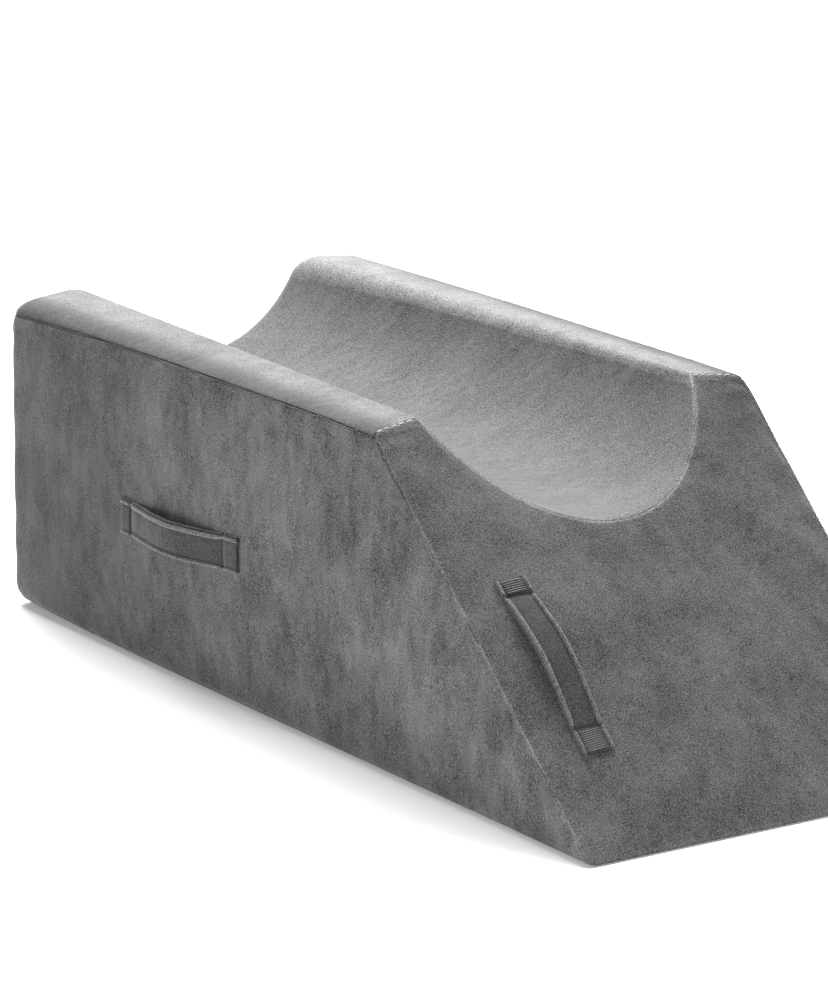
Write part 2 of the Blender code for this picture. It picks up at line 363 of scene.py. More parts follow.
def swollen_front(point):
    return point + OUT_OF_THE_SLANT * end_swell(FRONT_CROWN, point.x, point.z, 1.0)


def loft(mesh, rings):
    """Skins closed rings of points with quads, and returns the rings of vertices."""
    skins = [[mesh.verts.new(point) for point in ring] for ring in rings]
    for ring, following in zip(skins, skins[1:]):
        for index in range(len(ring)):
            mesh.faces.new((ring[index - 1], ring[index], following[index], following[index - 1]))
    return skins


pillow_mesh = bmesh.new()
skins = loft(pillow_mesh, pillow_rings())
end_grid(pillow_mesh, skins[0], swollen_back)
end_grid(pillow_mesh, skins[-1], swollen_front)
bmesh.ops.recalc_face_normals(pillow_mesh, faces=pillow_mesh.faces)

BACK_SEAM_RING = 2
FRONT_SEAM_RING = len(skins) - 2
seams = [skins[number] + skins[number][:1] for number in (BACK_SEAM_RING, FRONT_SEAM_RING)]
for column in (SEAM_STEP, BASE_SEAM_STEP):
    seams.append([skin[column] for skin in skins[BACK_SEAM_RING : FRONT_SEAM_RING + 1]])
    seams.append([skin[-column] for skin in skins[BACK_SEAM_RING : FRONT_SEAM_RING + 1]])

pillow_mesh.verts.index_update()
seam_numbers = [[vert.index for vert in seam] for seam in seams]
strip_numbers = [vert.index for skin in skins for vert in skin[SEAM_STEP : len(skin) - SEAM_STEP + 1]]
pillow = bpy.data.objects.new("pillow_cover", bpy.data.meshes.new("pillow_cover"))
pillow_mesh.to_mesh(pillow.data)
pillow_mesh.free()
bpy.context.collection.objects.link(pillow)

# The cover is cut a little larger than the foam. Held by its seams and by the foam's grip, it settles as
# cloth and fills out softly. No point moves further than CLOTH_REACH.
CLOTH_FRAMES = 20
CLOTH_PRESSURE = 4.0
CLOTH_GROWTH = 0.010
FOAM_HOLD = 0.24
STRIP_HOLD = 0.7
CLOTH_REACH = 0.0009
FLAT_BASE_UP_TO = 0.004


def settle_cover(cover, sewn):
    """Lets the cover settle as cloth. The points numbered in sewn stay where they are."""
    hold = cover.vertex_groups.new(name="hold")
    hold.add(range(len(cover.data.vertices)), FOAM_HOLD, "REPLACE")
    hold.add(strip_numbers, STRIP_HOLD, "REPLACE")
    hold.add(sewn, 1.0, "REPLACE")
    cloth = cover.modifiers.new("cloth", "CLOTH")
    cloth.settings.quality = 6
    cloth.settings.mass = 0.3
    cloth.settings.tension_stiffness = 15.0
    cloth.settings.compression_stiffness = 15.0
    cloth.settings.shear_stiffness = 8.0
    cloth.settings.bending_stiffness = 0.3
    cloth.settings.use_pressure = True
    cloth.settings.uniform_pressure_force = CLOTH_PRESSURE
    cloth.settings.shrink_min = -CLOTH_GROWTH
    cloth.settings.vertex_group_mass = "hold"
    cloth.settings.effector_weights.gravity = 0.0
    cloth.collision_settings.use_collision = False
    cloth.point_cache.frame_end = CLOTH_FRAMES
    for number in range(1, CLOTH_FRAMES + 1):
        bpy.context.scene.frame_set(number)
    settled = cover.evaluated_get(bpy.context.evaluated_depsgraph_get())
    moves = [after.co - before.co for before, after in zip(cover.data.vertices, settled.data.vertices)]
    cover.modifiers.remove(cloth)
    cover.vertex_groups.remove(hold)
    bpy.context.scene.frame_set(1)
    for vertex, move in zip(cover.data.vertices, moves):
        length = move.length
        if length > 0:
            vertex.co += move * (CLOTH_REACH * math.tanh(length / CLOTH_REACH) / length)


sewn = {number for numbers in seam_numbers for number in numbers}
sewn.update(vertex.index for vertex in pillow.data.vertices if vertex.co.z < FLAT_BASE_UP_TO)
settle_cover(pillow, list(sewn))

# The seams: cells are cut finer beside each. One panel's edge stands up as a thin welt, and the other panel
# dips in beside it. The front and back panels have the welt along their borders, and so has the top strip.
SEAM_CUT = 0.0014
SEAM_SEGMENTS = 4
SEAM_DIP, SEAM_DIP_PLACE, SEAM_DIP_WIDTH = 0.0009, 0.0002, 0.0006
SEAM_WELT, SEAM_WELT_PLACE, SEAM_WELT_WIDTH = 0.0005, 0.0010, 0.0007
SEAM_PULL, SEAM_PULL_WIDTH = 0.0004, 0.0045
SEAM_REACH = 0.012
SEAM_POINT_STEP = 0.0006
TOP_SEAM_DEPTH, EDGE_SEAM_DEPTH = 0.6, 0.25
GATHERS, GATHER_SCALE = 0.35, 90.0

# Which way the welt's side of each seam faces: back border, front border, two top seams, two base seams
WELT_SIDES = (
    (0.0, 1.0, 0.0),
    tuple(OUT_OF_THE_SLANT),
    (0.0, 0.0, 1.0),
    (0.0, 0.0, 1.0),
    (0.0, 0.0, -1.0),
    (0.0, 0.0, -1.0),
)
FRONT_SEAM, TOP_SEAMS = 1, (2, 3)
WELT_FACING, WELT_LEAN = 0.7, 0.35

# Painted light and shade: how light each panel is painted for the way the light falls on it, and how strong
# the pile's patches are there.
# It is painted darkest, as shade, where the top strip rolls over and in the seams, and lightest, as painted
# highlights, on the wall tops and along the edges.
FRONT_FACING, BACK_FACING = 0.93, 0.8
FRONT_PAINTED_SHADE = (0.74, 0.81)
# The side panels are painted darker towards the back and a little lighter low down, as shade and bounced
# light.
SIDE_PAINTED_SHADE, SIDE_SHADE_FROM, SIDE_SHADE_RUN = (0.58, 0.96), 0.30, 0.42
LOW_SIDE_PAINTED_LIGHT, LOW_SIDE_UP_TO = (1.04, 0.99), 0.6
BACK_DARK, BACK_DARK_Y, BACK_DARK_Z = 0.30, (0.10, 0.24), (0.42, 0.30)
# The wall tops are painted lighter, the far one most, as light from above; the trough and the roll are
# painted darker, as shade.
NEAR_TOP_PAINTED_LIGHT, FAR_TOP_PAINTED_LIGHT, TROUGH_PAINTED_SHADE = 1.21, 1.60, 0.78
WALL_LIGHT_FROM, WALL_LIGHT_WIDTH = 0.016, 0.024
ROLL_PAINTED_SHADE, ROLL_SHADE_FROM, ROLL_SHADE_WIDTH = 0.40, 0.0065, 0.0175
# Painted shade: a thin dark line along each seam, fainter low on the slanted panel's border.
SEAM_LINE_PLACE, SEAM_LINE_WIDTH, SEAM_LINE_DARK, TOP_SEAM_DARK = -0.0004, 0.0007, 0.50, 0.34
SLANT_LINE_FADE, SLANT_LINE_FROM, SLANT_LINE_RUN = 0.25, 0.05, 0.10
# Painted highlight along the front panel's border, lighter low on the slanted sides.
RIM_PLACE, RIM_WIDTH, RIM_LIGHT = 0.0005, 0.0010, 1.0
BASE_RIM_SHARE, BASE_RIM_UP_TO, HIGH_RIM_LIGHT, LOW_RIM_LIGHT = 0.4, 0.05, 0.1, 1.4
LOW_RIM_FROM, LOW_RIM_RUN, BASE_FADE = 0.165, 0.02, 0.015
FRONT_BRUSHING, TOP_BRUSHING, TROUGH_BRUSHING = 0.66, 0.60, 0.40
LEVEL_FROM, LEVEL_RUN = 0.3, 0.4

TROUGH_HALF_WIDTH = trough_arc(1.0)[0]
RIM_Z = HEIGHT - 0.004
OVER_THE_BASE, BASE_BAND = 0.1, 0.02


def spaced(points, step):
    """The line again, with points about step apart."""
    result = [points[0]]
    for start, end in zip(points, points[1:]):
        count = max(1, round((end - start).length / step))
        result += [start.lerp(end, number / count) for number in range(1, count + 1)]
    return result


def bump_shape(place, middle, width):
    """1 at the middle, falling off smoothly to 0 over about twice the width."""
    return math.exp(-(((place - middle) / width) ** 2))


def seam_offset(place, depth):
    """How far the cloth stands out, so far to the welt's side of a seam that is this deep."""
    welt = SEAM_WELT * bump_shape(place, SEAM_WELT_PLACE, SEAM_WELT_WIDTH)
    dip = SEAM_DIP * bump_shape(place, -SEAM_DIP_PLACE, SEAM_DIP_WIDTH)
    return depth * (welt - dip - SEAM_PULL * bump_shape(place, 0.0, SEAM_PULL_WIDTH))


def clamped(share):
    """A smooth step from 0 to 1 as share goes from 0 to 1."""
    share = min(max(share, 0.0), 1.0)
    return share * share * (3 - 2 * share)


def on_upper_border(seam, point):
    """Whether a seam's point is on the front panel's border over a wall top or along the trough."""
    over_the_trough = abs(point.x) < TROUGH_HALF_WIDTH and point.z > OVER_THE_BASE
    return seam == FRONT_SEAM and (point.z > RIM_Z or over_the_trough)


def rim_light(seam, seam_point, place):
    """How much lighter the front panel's border is painted, as a highlight, so far to the welt's side of it.
    """
    if seam != FRONT_SEAM:
        return 0.0
    if seam_point.z > RIM_Z or abs(seam_point.x) < TROUGH_HALF_WIDTH:
        rim_highlight = RIM_LIGHT * (1.0 if seam_point.z > BASE_RIM_UP_TO else BASE_RIM_SHARE)
    else:
        rim_highlight = mix(HIGH_RIM_LIGHT, LOW_RIM_LIGHT, clamped((LOW_RIM_FROM - seam_point.z) / LOW_RIM_RUN))
        rim_highlight *= clamped(seam_point.z / BASE_FADE)
    return rim_highlight * bump_shape(place, RIM_PLACE, RIM_WIDTH)


def side_painted_shade(point):
    """The side panels' painted light and shade: darker at the back end, a little lighter low down, with a
    dark patch at half height there.
    """
    along = clamped((SIDE_SHADE_FROM - point.y) / SIDE_SHADE_RUN)
    low = mix(*LOW_SIDE_PAINTED_LIGHT, clamped(point.z / (LOW_SIDE_UP_TO * HEIGHT)))
    back = clamped((point.y - BACK_DARK_Y[0]) / (BACK_DARK_Y[1] - BACK_DARK_Y[0]))
    patch = BACK_DARK * back * bump_shape(point.z / HEIGHT, *BACK_DARK_Z)
    return mix(*SIDE_PAINTED_SHADE, along) * low * (1 - patch)


def painted_light_at(point, normal, seam, seam_point, place):
    """How light the cover is painted at a point, as light and shade, with its nearest seam and how far to the
    welt's side it lies.
    """
    light = 1 + rim_light(seam, seam_point, place)
    if normal.dot(OUT_OF_THE_SLANT) > FRONT_FACING:
        return mix(*FRONT_PAINTED_SHADE, clamped(1 - point.z / HEIGHT)) * light
    if abs(normal.y) > BACK_FACING:
        return SIDE_PAINTED_SHADE[0]
    t = (BACK_Y - point.y) / TOP_LENGTH
    seam_z = seam_point.z
    if seam not in TOP_SEAMS or abs(place) >= SEAM_REACH:
        seam_z = HEIGHT - seam_place(min(max(t, 0.0), 1.0))[1]
    over_the_wall = abs(point.x) - trough_arc(min(t, 1.0))[0] + WALL_LIGHT_FROM
    if point.z > seam_z and over_the_wall > 0:
        top = FAR_TOP_PAINTED_LIGHT if point.x > 0 else NEAR_TOP_PAINTED_LIGHT
        rolled = clamped((HALF_WIDTH - abs(point.x) - ROLL_SHADE_FROM) / ROLL_SHADE_WIDTH)
        return mix(TROUGH_PAINTED_SHADE, mix(ROLL_PAINTED_SHADE, top, rolled), clamped(over_the_wall / WALL_LIGHT_WIDTH)) * light
    if abs(point.x) > HALF_WIDTH - SEAM_REACH or point.z < BASE_BAND:
        return side_painted_shade(point) * light
    return TROUGH_PAINTED_SHADE * light


def brushing_at(point, normal):
    """How strong the brushed patches are at a point: full on the upright panels."""
    upper = TROUGH_BRUSHING if abs(point.x) < TROUGH_HALF_WIDTH - 0.01 else TOP_BRUSHING
    upper = FRONT_BRUSHING if normal.dot(OUT_OF_THE_SLANT) > FRONT_FACING else upper
    return mix(1.0, upper, clamped((normal.z - LEVEL_FROM) / LEVEL_RUN))


seam_lines = [[pillow.data.vertices[number].co.copy() for number in numbers] for numbers in seam_numbers]
mesh = bmesh.new()
mesh.from_mesh(pillow.data)
mesh.verts.ensure_lookup_table()
seam_edges = []
for numbers in seam_numbers:
    for first, second in zip(numbers, numbers[1:]):
        edge = mesh.edges.get((mesh.verts[first], mesh.verts[second]))
        if edge and edge not in seam_edges:
            seam_edges.append(edge)
bmesh.ops.bevel(
    mesh, geom=seam_edges, offset=SEAM_CUT, offset_type="OFFSET", segments=SEAM_SEGMENTS, profile=0.5,
    affect="EDGES", clamp_overlap=True,
)
mesh.to_mesh(pillow.data)
mesh.free()

subdivision = pillow.modifiers.new("smooth", "SUBSURF")
subdivision.levels = subdivision.render_levels = 1
evaluated = pillow.evaluated_get(bpy.context.evaluated_depsgraph_get())
smooth = bpy.data.meshes.new_from_object(evaluated)
pillow.modifiers.clear()
pillow.data = smooth
smooth.name = "pillow_cover"

seam_points = []
for seam, line in enumerate(seam_lines):
    seam_points += [(point, seam) for point in spaced(line, SEAM_POINT_STEP)]
tree = KDTree(len(seam_points))
for number, (point, _) in enumerate(seam_points):
    tree.insert(point, number)
tree.balance()
normals = [vertex.normal.copy() for vertex in smooth.vertices]
painted_light_and_shade = []
brushing = []
for vertex, normal in zip(smooth.vertices, normals):
    point, number, distance = tree.find(vertex.co)
    seam = seam_points[number][1]
    welt_side = Vector(WELT_SIDES[seam])
    lean = WELT_LEAN * (vertex.co - point).normalized().dot(welt_side)
    place = distance if normal.dot(welt_side) - lean > WELT_FACING else -distance
    depth = 1.0 + GATHERS * noise.noise(point * GATHER_SCALE)
    if on_upper_border(seam, point):
        depth = EDGE_SEAM_DEPTH
    dark = SEAM_LINE_DARK * min(depth, 1.0)
    if seam in TOP_SEAMS:
        depth *= TOP_SEAM_DEPTH
        dark = TOP_SEAM_DARK
    if seam == FRONT_SEAM:
        dark *= mix(SLANT_LINE_FADE, 1.0, clamped((point.z - SLANT_LINE_FROM) / SLANT_LINE_RUN))
    # Painted shade in the seam: the colour darkens along a thin line beside it.
    seam_line = dark * bump_shape(place, SEAM_LINE_PLACE, SEAM_LINE_WIDTH)
    painted_light_and_shade.append(painted_light_at(vertex.co, normal, seam, point, place) * (1 - seam_line))
    brushing.append(brushing_at(vertex.co, normal))
    if distance < SEAM_REACH:
        vertex.co += normal * seam_offset(place, depth)
        vertex.co.z = max(vertex.co.z, 0.0)
smooth.attributes.new("painted_light_and_shade", "FLOAT", "POINT").data.foreach_set("value", painted_light_and_shade)
smooth.attributes.new("brushing", "FLOAT", "POINT").data.foreach_set("value", brushing)
smooth.shade_smooth()

# Velvet: matt, short pile, brushed this way and that into lighter and darker patches.
COVER_COLOUR = (0.118, 0.118, 0.120, 1.0)
PATCH_STRETCH, STREAK_STRETCH = (1.0, 1.0, 0.80), (1.0, 1.0, 0.42)
PATCH_SCALE, STREAK_SCALE, GRAIN_SCALE = 26.0, 130.0, 1450.0


def add_node(tree, kind, place, **values):
    node = tree.nodes.new(kind)
    node.location = place
    for name, value in values.items():
        if hasattr(node, name):
            setattr(node, name, value)
        else:
            node.inputs[name.replace("_", " ")].default_value = value
    return node


def make_pile_group():
    """Brushed patches and fine grain of a short pile. Shade is about 1; Height feeds a bump."""
    group = bpy.data.node_groups.new("velvet_pile", "ShaderNodeTree")
    group.interface.new_socket("Vector", in_out="INPUT", socket_type="NodeSocketVector")
    for name, value in (("Patches", 0.3), ("Grain", 0.3)):
        socket = group.interface.new_socket(name, in_out="INPUT", socket_type="NodeSocketFloat")
        socket.default_value = value
    group.interface.new_socket("Shade", in_out="OUTPUT", socket_type="NodeSocketFloat")
    group.interface.new_socket("Height", in_out="OUTPUT", socket_type="NodeSocketFloat")
    given = add_node(group, "NodeGroupInput", (-1100, 0))
    result = add_node(group, "NodeGroupOutput", (700, 0))
    stretch = add_node(group, "ShaderNodeVectorMath", (-900, 200), operation="MULTIPLY")
    stretch.inputs[1].default_value = PATCH_STRETCH
    group.links.new(given.outputs["Vector"], stretch.inputs[0])
    streak = add_node(group, "ShaderNodeVectorMath", (-900, -20), operation="MULTIPLY")
    streak.inputs[1].default_value = STREAK_STRETCH
    group.links.new(given.outputs["Vector"], streak.inputs[0])
    broad = add_node(group, "ShaderNodeTexNoise", (-700, 300), Scale=PATCH_SCALE, Detail=4.0, Roughness=0.62)
    fine = add_node(group, "ShaderNodeTexNoise", (-700, 60), Scale=STREAK_SCALE, Detail=3.0, Roughness=0.6)
    grain = add_node(group, "ShaderNodeTexNoise", (-700, -180), Scale=GRAIN_SCALE, Detail=1.0, Roughness=0.7)
    group.links.new(stretch.outputs[0], broad.inputs["Vector"])
    group.links.new(streak.outputs[0], fine.inputs["Vector"])
    group.links.new(given.outputs["Vector"], grain.inputs["Vector"])

    def centred(source, place, scale):
        node = add_node(group, "ShaderNodeMath", place, operation="MULTIPLY_ADD")
        group.links.new(source, node.inputs[0])
        node.inputs[1].default_value = scale
        node.inputs[2].default_value = -0.5 * scale
        return node.outputs[0]

    def combine(operation, first, second, place):
        node = add_node(group, "ShaderNodeMath", place, operation=operation)
        group.links.new(first, node.inputs[0])
        if isinstance(second, float):
            node.inputs[1].default_value = second
        else:
            group.links.new(second, node.inputs[1])
        return node.outputs[0]

    patches = combine("ADD", centred(broad.outputs["Fac"], (-450, 300), 2.8),
                      centred(fine.outputs["Fac"], (-450, 60), 1.4), (-200, 200))
    patches = combine("MULTIPLY", patches, given.outputs["Patches"], (0, 200))
    speck = centred(grain.outputs["Fac"], (-450, -180), 4.0)
    speck = combine("MULTIPLY", speck, given.outputs["Grain"], (0, -100))
    shade = combine("ADD", combine("ADD", patches, speck, (200, 100)), 1.0, (400, 100))
    group.links.new(shade, result.inputs["Shade"])
    height = combine("ADD", centred(grain.outputs["Fac"], (0, -300), 1.0),
                     centred(fine.outputs["Fac"], (0, -450), 1.0), (250, -300))
    group.links.new(height, result.inputs["Height"])
    return group


def make_velvet(name, colour, patches, grain, bump):
    material = bpy.data.materials.new(name)
    material.use_nodes = True
    tree = material.node_tree
    shader = tree.nodes["Principled BSDF"]
    place = add_node(tree, "ShaderNodeTexCoord", (-1100, 0))
    pile = add_node(tree, "ShaderNodeGroup", (-850, 0), node_tree=pile_group)
    brushing = add_node(tree, "ShaderNodeAttribute", (-1250, 250), attribute_name="brushing")
    strength = add_node(tree, "ShaderNodeMath", (-1050, 200), operation="MULTIPLY")
    tree.links.new(brushing.outputs["Fac"], strength.inputs[0])
    strength.inputs[1].default_value = patches
    tree.links.new(strength.outputs[0], pile.inputs["Patches"])
    pile.inputs["Grain"].default_value = grain
    tree.links.new(place.outputs["Object"], pile.inputs["Vector"])
    # The mesh's painted light and shade scales the colour, on top of the pile's patches.
    painted_light_node = add_node(tree, "ShaderNodeAttribute", (-850, 300), attribute_name="painted_light_and_shade")
    light = add_node(tree, "ShaderNodeMath", (-700, 150), operation="MULTIPLY")
    tree.links.new(pile.outputs["Shade"], light.inputs[0])
    tree.links.new(painted_light_node.outputs["Fac"], light.inputs[1])
    shade = add_node(tree, "ShaderNodeVectorMath", (-550, 100), operation="SCALE")
    shade.inputs[0].default_value = colour[:3]
    tree.links.new(light.outputs[0], shade.inputs["Scale"])
    tree.links.new(shade.outputs[0], shader.inputs["Base Color"])
    relief = add_node(tree, "ShaderNodeBump", (-550, -250), Strength=bump, Distance=0.0006)
    tree.links.new(pile.outputs["Height"], relief.inputs["Height"])
    tree.links.new(relief.outputs["Normal"], shader.inputs["Normal"])
    shader.inputs["Roughness"].default_value = 0.9
    shader.inputs["Sheen Weight"].default_value = 0.5
    shader.inputs["Sheen Roughness"].default_value = 0.3
    return material


pile_group = make_pile_group()
cover_velvet = make_velvet("cover_velvet", COVER_COLOUR, patches=0.86, grain=1.15, bump=0.5)
smooth.materials.clear()
smooth.materials.append(cover_velvet)
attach(pillow, "root")
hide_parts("pillow")

# The thread: one row of small stitches sunk in each seam, grey and a little shiny. The row across the front
# edge of each wall top is lighter, longer and lies on the edge itself.
THREAD_COLOUR = (0.17, 0.17, 0.17, 1.0)
THREAD_RADIUS = 0.00028
STITCH_PITCH = 0.0036
# The stitches in the top seams are the same thread painted darker, as shade in the seam.
SHADED_THREAD_COLOUR = (0.09, 0.09, 0.09, 1.0)
EDGE_THREAD_COLOUR = (0.62, 0.61, 0.60, 1.0)
EDGE_THREAD_RADIUS = 0.00036
EDGE_STITCH_PITCH = 0.0056
THREAD_SIDES = 6
THREAD_SHAPE = ((0.0, 0.35), (0.12, 0.85), (0.5, 1.0), (0.88, 0.85), (1.0, 0.35))


def add_thread(mesh, start, end, outward, radius):
    """A short piece of thread from start to end, which dips at both ends."""
    travel = end - start
    sideways = travel.cross(outward).normalized()
    up = sideways.cross(travel).normalized()
    rings = []
    for share, girth in THREAD_SHAPE:
        centre = start + travel * share + up * radius * (girth - 0.6)
        ring = []
        for side in range(THREAD_SIDES):
            angle = math.tau * side / THREAD_SIDES
            out = sideways * math.cos(angle) + up * math.sin(angle)
            ring.append(mesh.verts.new(centre + out * radius * girth))
        rings.append(ring)
    for ring, following in zip(rings, rings[1:]):
        for side in range(THREAD_SIDES):
            mesh.faces.new((ring[side - 1], ring[side], following[side], following[side - 1]))
    mesh.faces.new(rings[0])
    mesh.faces.new(rings[-1])


def finish_mesh(name, mesh, material):
    bmesh.ops.recalc_face_normals(mesh, faces=mesh.faces)
    data = bpy.data.meshes.new(name)
    mesh.to_mesh(data)
    mesh.free()
    data.materials.append(material)
    data.shade_smooth()
    made = bpy.data.objects.new(name, data)
    bpy.context.collection.objects.link(made)
    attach(made, "root")
    return made


def make_twist_group():
    """The plies of a twisted thread: light and dark flecks. Shade is about 1; Height feeds a bump."""
    group = bpy.data.node_groups.new("thread_twist", "ShaderNodeTree")
    group.interface.new_socket("Vector", in_out="INPUT", socket_type="NodeSocketVector")
    group.interface.new_socket("Shade", in_out="OUTPUT", socket_type="NodeSocketFloat")
    group.interface.new_socket("Height", in_out="OUTPUT", socket_type="NodeSocketFloat")
    given = add_node(group, "NodeGroupInput", (-600, 0))
    result = add_node(group, "NodeGroupOutput", (300, 0))
    plies = add_node(group, "ShaderNodeTexNoise", (-350, 0), Scale=2600.0, Detail=1.0, Roughness=0.6)
    shade = add_node(group, "ShaderNodeMath", (0, 100), operation="MULTIPLY_ADD")
    shade.inputs[1].default_value = 1.2
    shade.inputs[2].default_value = 0.4
    group.links.new(given.outputs["Vector"], plies.inputs["Vector"])
    group.links.new(plies.outputs["Fac"], shade.inputs[0])
    group.links.new(shade.outputs[0], result.inputs["Shade"])
    group.links.new(plies.outputs["Fac"], result.inputs["Height"])
    return group


def make_thread(name, colour):
    material = bpy.data.materials.new(name)
    material.use_nodes = True
    tree = material.node_tree
    shader = tree.nodes["Principled BSDF"]
    place = add_node(tree, "ShaderNodeTexCoord", (-900, 0))
    twist = add_node(tree, "ShaderNodeGroup", (-700, 0), node_tree=twist_group)
    shade = add_node(tree, "ShaderNodeVectorMath", (-400, 100), operation="SCALE")
    shade.inputs[0].default_value = colour[:3]
    relief = add_node(tree, "ShaderNodeBump", (-400, -200), Strength=0.5, Distance=0.0002)
    tree.links.new(place.outputs["Object"], twist.inputs["Vector"])
    tree.links.new(twist.outputs["Shade"], shade.inputs["Scale"])
    tree.links.new(shade.outputs[0], shader.inputs["Base Color"])
    tree.links.new(twist.outputs["Height"], relief.inputs["Height"])
    tree.links.new(relief.outputs["Normal"], shader.inputs["Normal"])
    shader.inputs["Roughness"].default_value = 0.55
    return material


def sew(name, lines, pitch, radius, material):
    """Rows of stitches laid on the cover along the lines."""
    mesh = bmesh.new()
    for line in lines:
        points = spaced(line, pitch / 4)
        for number in range(0, len(points) - 3, 4):
            start, end = points[number], points[number + 3]
            middle = (start + end) / 2
            place, normal, _, _ = cover_surface.find_nearest(middle)
            lift = place - middle + normal * radius * 0.5
            add_thread(mesh, start + lift, end + lift, normal, radius)
    made = finish_mesh(name, mesh, material)
    return made


cover_surface = BVHTree.FromObject(pillow, bpy.context.evaluated_depsgraph_get())
front_ring = seam_lines[1]
edge_steps = (SEAM_STEP + 3, SEAM_STEP + ROLL_STEPS + WALL_TOP_STEPS + 1)
left_edge = front_ring[edge_steps[0] : edge_steps[1] + 1]
right_edge = front_ring[len(front_ring) - 1 - edge_steps[1] : len(front_ring) - edge_steps[0]]
slants_and_base = [front_ring[: SEAM_STEP + 1], front_ring[len(front_ring) - 1 - SEAM_STEP :]]
twist_group = make_twist_group()
thread = make_thread("thread", THREAD_COLOUR)
edge_thread = make_thread("edge_thread", EDGE_THREAD_COLOUR)
shaded_sunk_thread = make_thread("shaded_sunk_thread", SHADED_THREAD_COLOUR)
sew("seam_stitches", [seam_lines[0], *slants_and_base], STITCH_PITCH, THREAD_RADIUS, thread)
sew("top_seam_stitches", seam_lines[2:4], STITCH_PITCH, THREAD_RADIUS, shaded_sunk_thread)
sew("edge_stitches", [left_edge, right_edge], EDGE_STITCH_PITCH, EDGE_THREAD_RADIUS, edge_thread)


# Side handle: a strap of the cover's velvet, folded so that both long edges are thick rolls, with a flatter
# middle. Its ends are sewn down on the side panel as short wide tabs, creased where the loop leaves them.
HANDLE_STANDOFF = 0.0060
HANDLE_BOW = 0.85
TAB_SUNK = 0.0003
STRAP_WIDTH = 0.0195
TAB_WIDTH = 0.0202
STRAP_EDGE, STRAP_MIDDLE = 0.0040, 0.0024
TAB_EDGE, TAB_MIDDLE = 0.0032, 0.0019
# Over a tab's end: (distance from the end, share of the thickness, narrower by)
# At its crease: (distance from the crease, share of the thickness)
TAB_END = ((0.0, 0.3, 0.0012), (0.0005, 0.8, 0.0004), (0.0014, 1.0, 0.0))
TAB_CREASE = ((0.0002, 0.5), (0.0009, 0.9), (0.0022, 1.0))
BACK_ROLL = 0.00085
# Painted shade on the strap: darker at the tabs' creases, and darker where the loop rises off its first tab.
CREASE_PAINTED_SHADE = 0.5
RISE_DARK, RISE_PLACE, RISE_WIDTH = 0.45, 0.26, 0.20
ROLL_ARC_STEPS = 8
LOOP_STEPS = 44
SIDE_HANDLE = {
    "from": (0.1630, 0.0876),
    "to": (0.0326, 0.0924),
    "tabs": (0.0118, 0.0155),
    "rolls": ((0.00085, 0.0), (0.00125, 0.0013)),
    # how dark the strap's middle is painted, as shade between its rolls
    "middle": 0.47,
}
SIDE_HANDLE_SAG = 0.0013
SIDE_HANDLE_COLOUR = (0.098, 0.098, 0.099, 1.0)
STRAP_PILE = {"patches": 0.30, "grain": 1.3, "bump": 0.9}
OUT_OF_THE_SIDE = Vector((-1.0, 0.0, 0.0))


def strap_section(width, edge, middle, rolls):
    """(across, up) round a strap: a flat back, and two rolls one on the other along each edge.
    rolls has each edge's front roll radius, and how far the back roll stands out past that roll."""
    half = width / 2
    back = min(BACK_ROLL, edge * 0.25)
    sides = []
    for front_roll, ledge in rolls:
        front = min(front_roll, edge * 0.32)
        outer = half + ledge
        side = [(outer - back - 0.0006, 0.0)]
        for step in range(ROLL_ARC_STEPS // 2 + 1):
            angle = mix(-math.pi / 2, math.pi * 0.35, step / (ROLL_ARC_STEPS // 2))
            side.append((outer - back + back * math.cos(angle), back + back * math.sin(angle)))
        for step in range(ROLL_ARC_STEPS + 1):
            angle = mix(-math.pi * 0.25, math.pi * 0.95, step / ROLL_ARC_STEPS)
            side.append((half - front + front * math.cos(angle), edge - front + front * math.sin(angle)))
        side.append((half - 2 * front - 0.0003, middle - 0.0004))
        side.append((half - 2 * front - 0.0010, middle))
        side.append((half * 0.4, middle + 0.0003))
        sides.append(side)
    return sides[0] + [(-across, up) for across, up in reversed(sides[1])]


def strap_painted_light(middle):
    """How light the strap is painted round the section: highlights painted on the rolls, shade painted in the
    hollow between them.
    """
    back_roll = [0.7, 1.0, 1.25, 1.1, 0.3]
    front_roll = [0.3, 0.9] + [1.5] * (ROLL_ARC_STEPS - 1)
    right = [0.6, *back_roll, *front_roll, 0.8 * middle, middle, middle]
    return right + right[::-1]


def strap_stations(length, tabs):
    """(distance along, stand-off, width, edge, middle) from one end of a handle to the other."""
    first, last = tabs
    loop = length - first - last
    start = length - last

    def tab(along, share, narrower=0.0):
        return along, 0.0, TAB_WIDTH - narrower, TAB_EDGE * share, TAB_MIDDLE * share

    stations = [tab(*end) for end in TAB_END]
    stations.append(tab(first * 0.5, 1.0))
    stations += [tab(first - along, share) for along, share in reversed(TAB_CREASE)]
    for step in range(1, LOOP_STEPS):
        share = step / LOOP_STEPS
        lift = HANDLE_STANDOFF * (0.5 - 0.5 * math.cos(math.tau * share)) ** HANDLE_BOW
        swell = min(1.0, 0.75 + 3 * min(share, 1 - share))
        stations.append((first + loop * share, lift, STRAP_WIDTH, STRAP_EDGE * swell, STRAP_MIDDLE * swell))
    stations += [tab(start + along, share) for along, share in TAB_CREASE]
    stations.append(tab(start + last * 0.5, 1.0))
    stations += [tab(length - along, share, narrower) for along, share, narrower in reversed(TAB_END)]
    return stations


def on_cover(point, outward):
    """The cover's point under or over a point, along outward."""
    place, _, _, _ = cover_surface.ray_cast(point + outward * 0.05, -outward)
    return place


